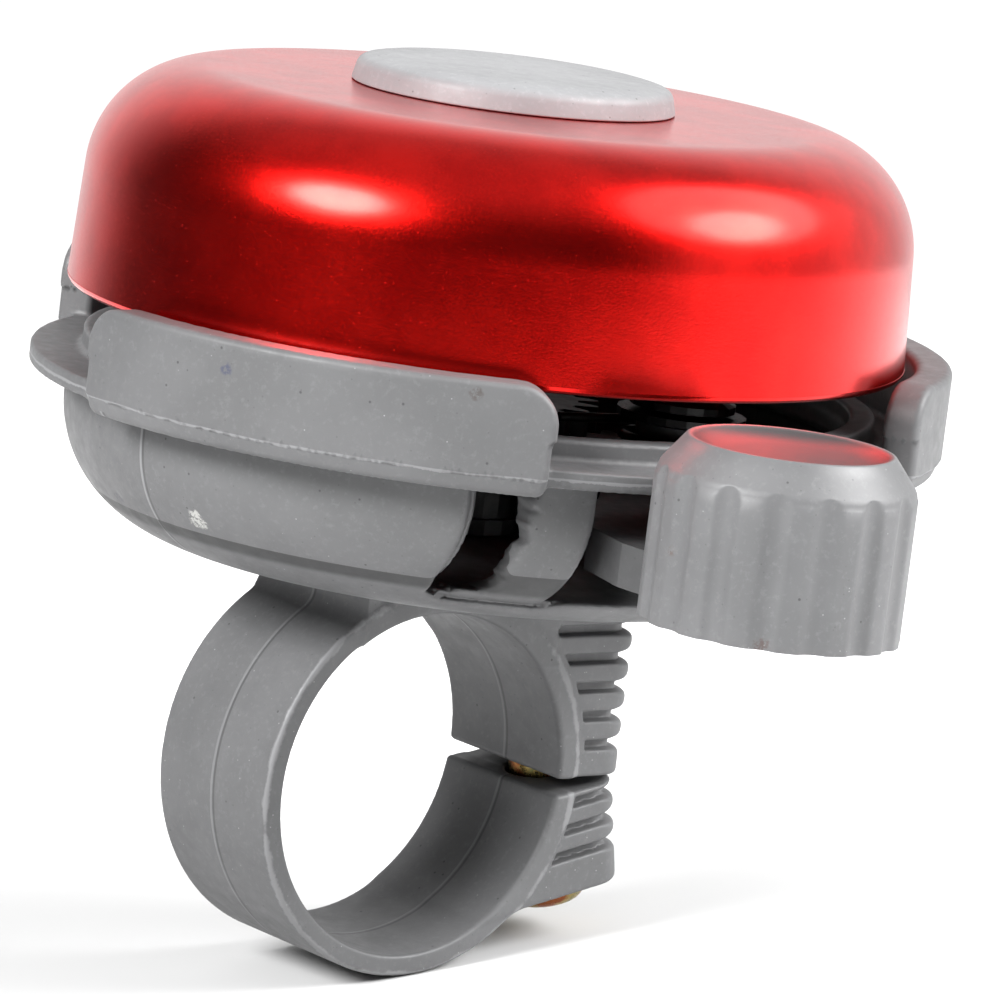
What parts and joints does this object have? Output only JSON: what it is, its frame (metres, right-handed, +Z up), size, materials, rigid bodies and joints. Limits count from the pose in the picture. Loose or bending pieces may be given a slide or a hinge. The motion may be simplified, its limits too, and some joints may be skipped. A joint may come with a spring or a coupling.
{
  "type": "bicycle bell",
  "caption": "Rotary bicycle bell with an anodised dome, moulded base, fluted thumb lever, geared striker rotor and a split handlebar clamp ring.",
  "frame": {"origin": "centre of the handlebar clamp ring", "axes": "+X along the handlebar towards the grip, +Y forward to the clamp ears, +Z up to the dome"},
  "size_m": [0.0777, 0.0624, 0.0609],
  "materials": {
    "grey_plastic": "moulded grey plastic, satin, with faint specks and flash lines",
    "cap_plastic": "moulded light grey plastic, satin",
    "dark_plastic": "black moulded gear plastic",
    "red_anodised": "red anodised, circumferentially brushed, satin",
    "steel": "plain zinc plated steel",
    "yellow_zinc": "yellow passivated zinc plate"
  },
  "bodies": {
    "housing": {"base_housing": "grey_plastic", "dome": "red_anodised", "top_cap": "cap_plastic", "dome_nut": "steel", "dome_lock_washer": "steel", "dome_seat_washer": "steel", "center_post": "steel", "rotor_thrust_washer": "steel", "rotor_retaining_clip": "steel", "idler_pin": "steel", "lever_pin": "steel", "lever_washer": "steel", "lever_spring": "steel", "clamp_screw": "yellow_zinc", "clamp_washer": "yellow_zinc", "clamp_nut": "yellow_zinc"},
    "lever": {"thumb_lever": "grey_plastic", "thumb_knob": "grey_plastic"},
    "idler": {"idler_gear": "dark_plastic"},
    "rotor": {"rotor_pinion": "dark_plastic", "striker_carrier": "steel", "striker_pin_right": "steel", "striker_pin_left": "steel"},
    "striker_right": {"striker_washer_right": "steel"},
    "striker_left": {"striker_washer_left": "steel"}
  },
  "joints": [
    {"name": "lever_hinge", "type": "hinge", "parent": "housing", "child": "lever", "pos_m": [0.006, 0.0184, 0.0197], "axis": [0, 0, 1], "range_deg": [0, 25], "stiffness_Nm_per_rad": 0.03, "springref_deg": -28.65},
    {"name": "idler_spin", "type": "hinge", "parent": "housing", "child": "idler", "pos_m": [-0.01149, 0.01268, 0.0225], "axis": [0, 0, 1], "range_deg": [-97, 2]},
    {"name": "rotor_spin", "type": "hinge", "parent": "housing", "child": "rotor", "pos_m": [0, 0.0054, 0.032], "axis": [0, 0, 1], "range_deg": [-3, 231]},
    {"name": "striker_right_fling", "type": "slide", "parent": "rotor", "child": "striker_right", "axis": [1, 0, 0], "range_m": [0, 0.0012]},
    {"name": "striker_left_fling", "type": "slide", "parent": "rotor", "child": "striker_left", "axis": [-1, 0, 0], "range_m": [0, 0.0012]}
  ],
  "couplings": [
    {"joint": "idler_spin", "follows": "lever_hinge", "ratio": -3.6},
    {"joint": "rotor_spin", "follows": "lever_hinge", "ratio": 8.64}
  ]
}
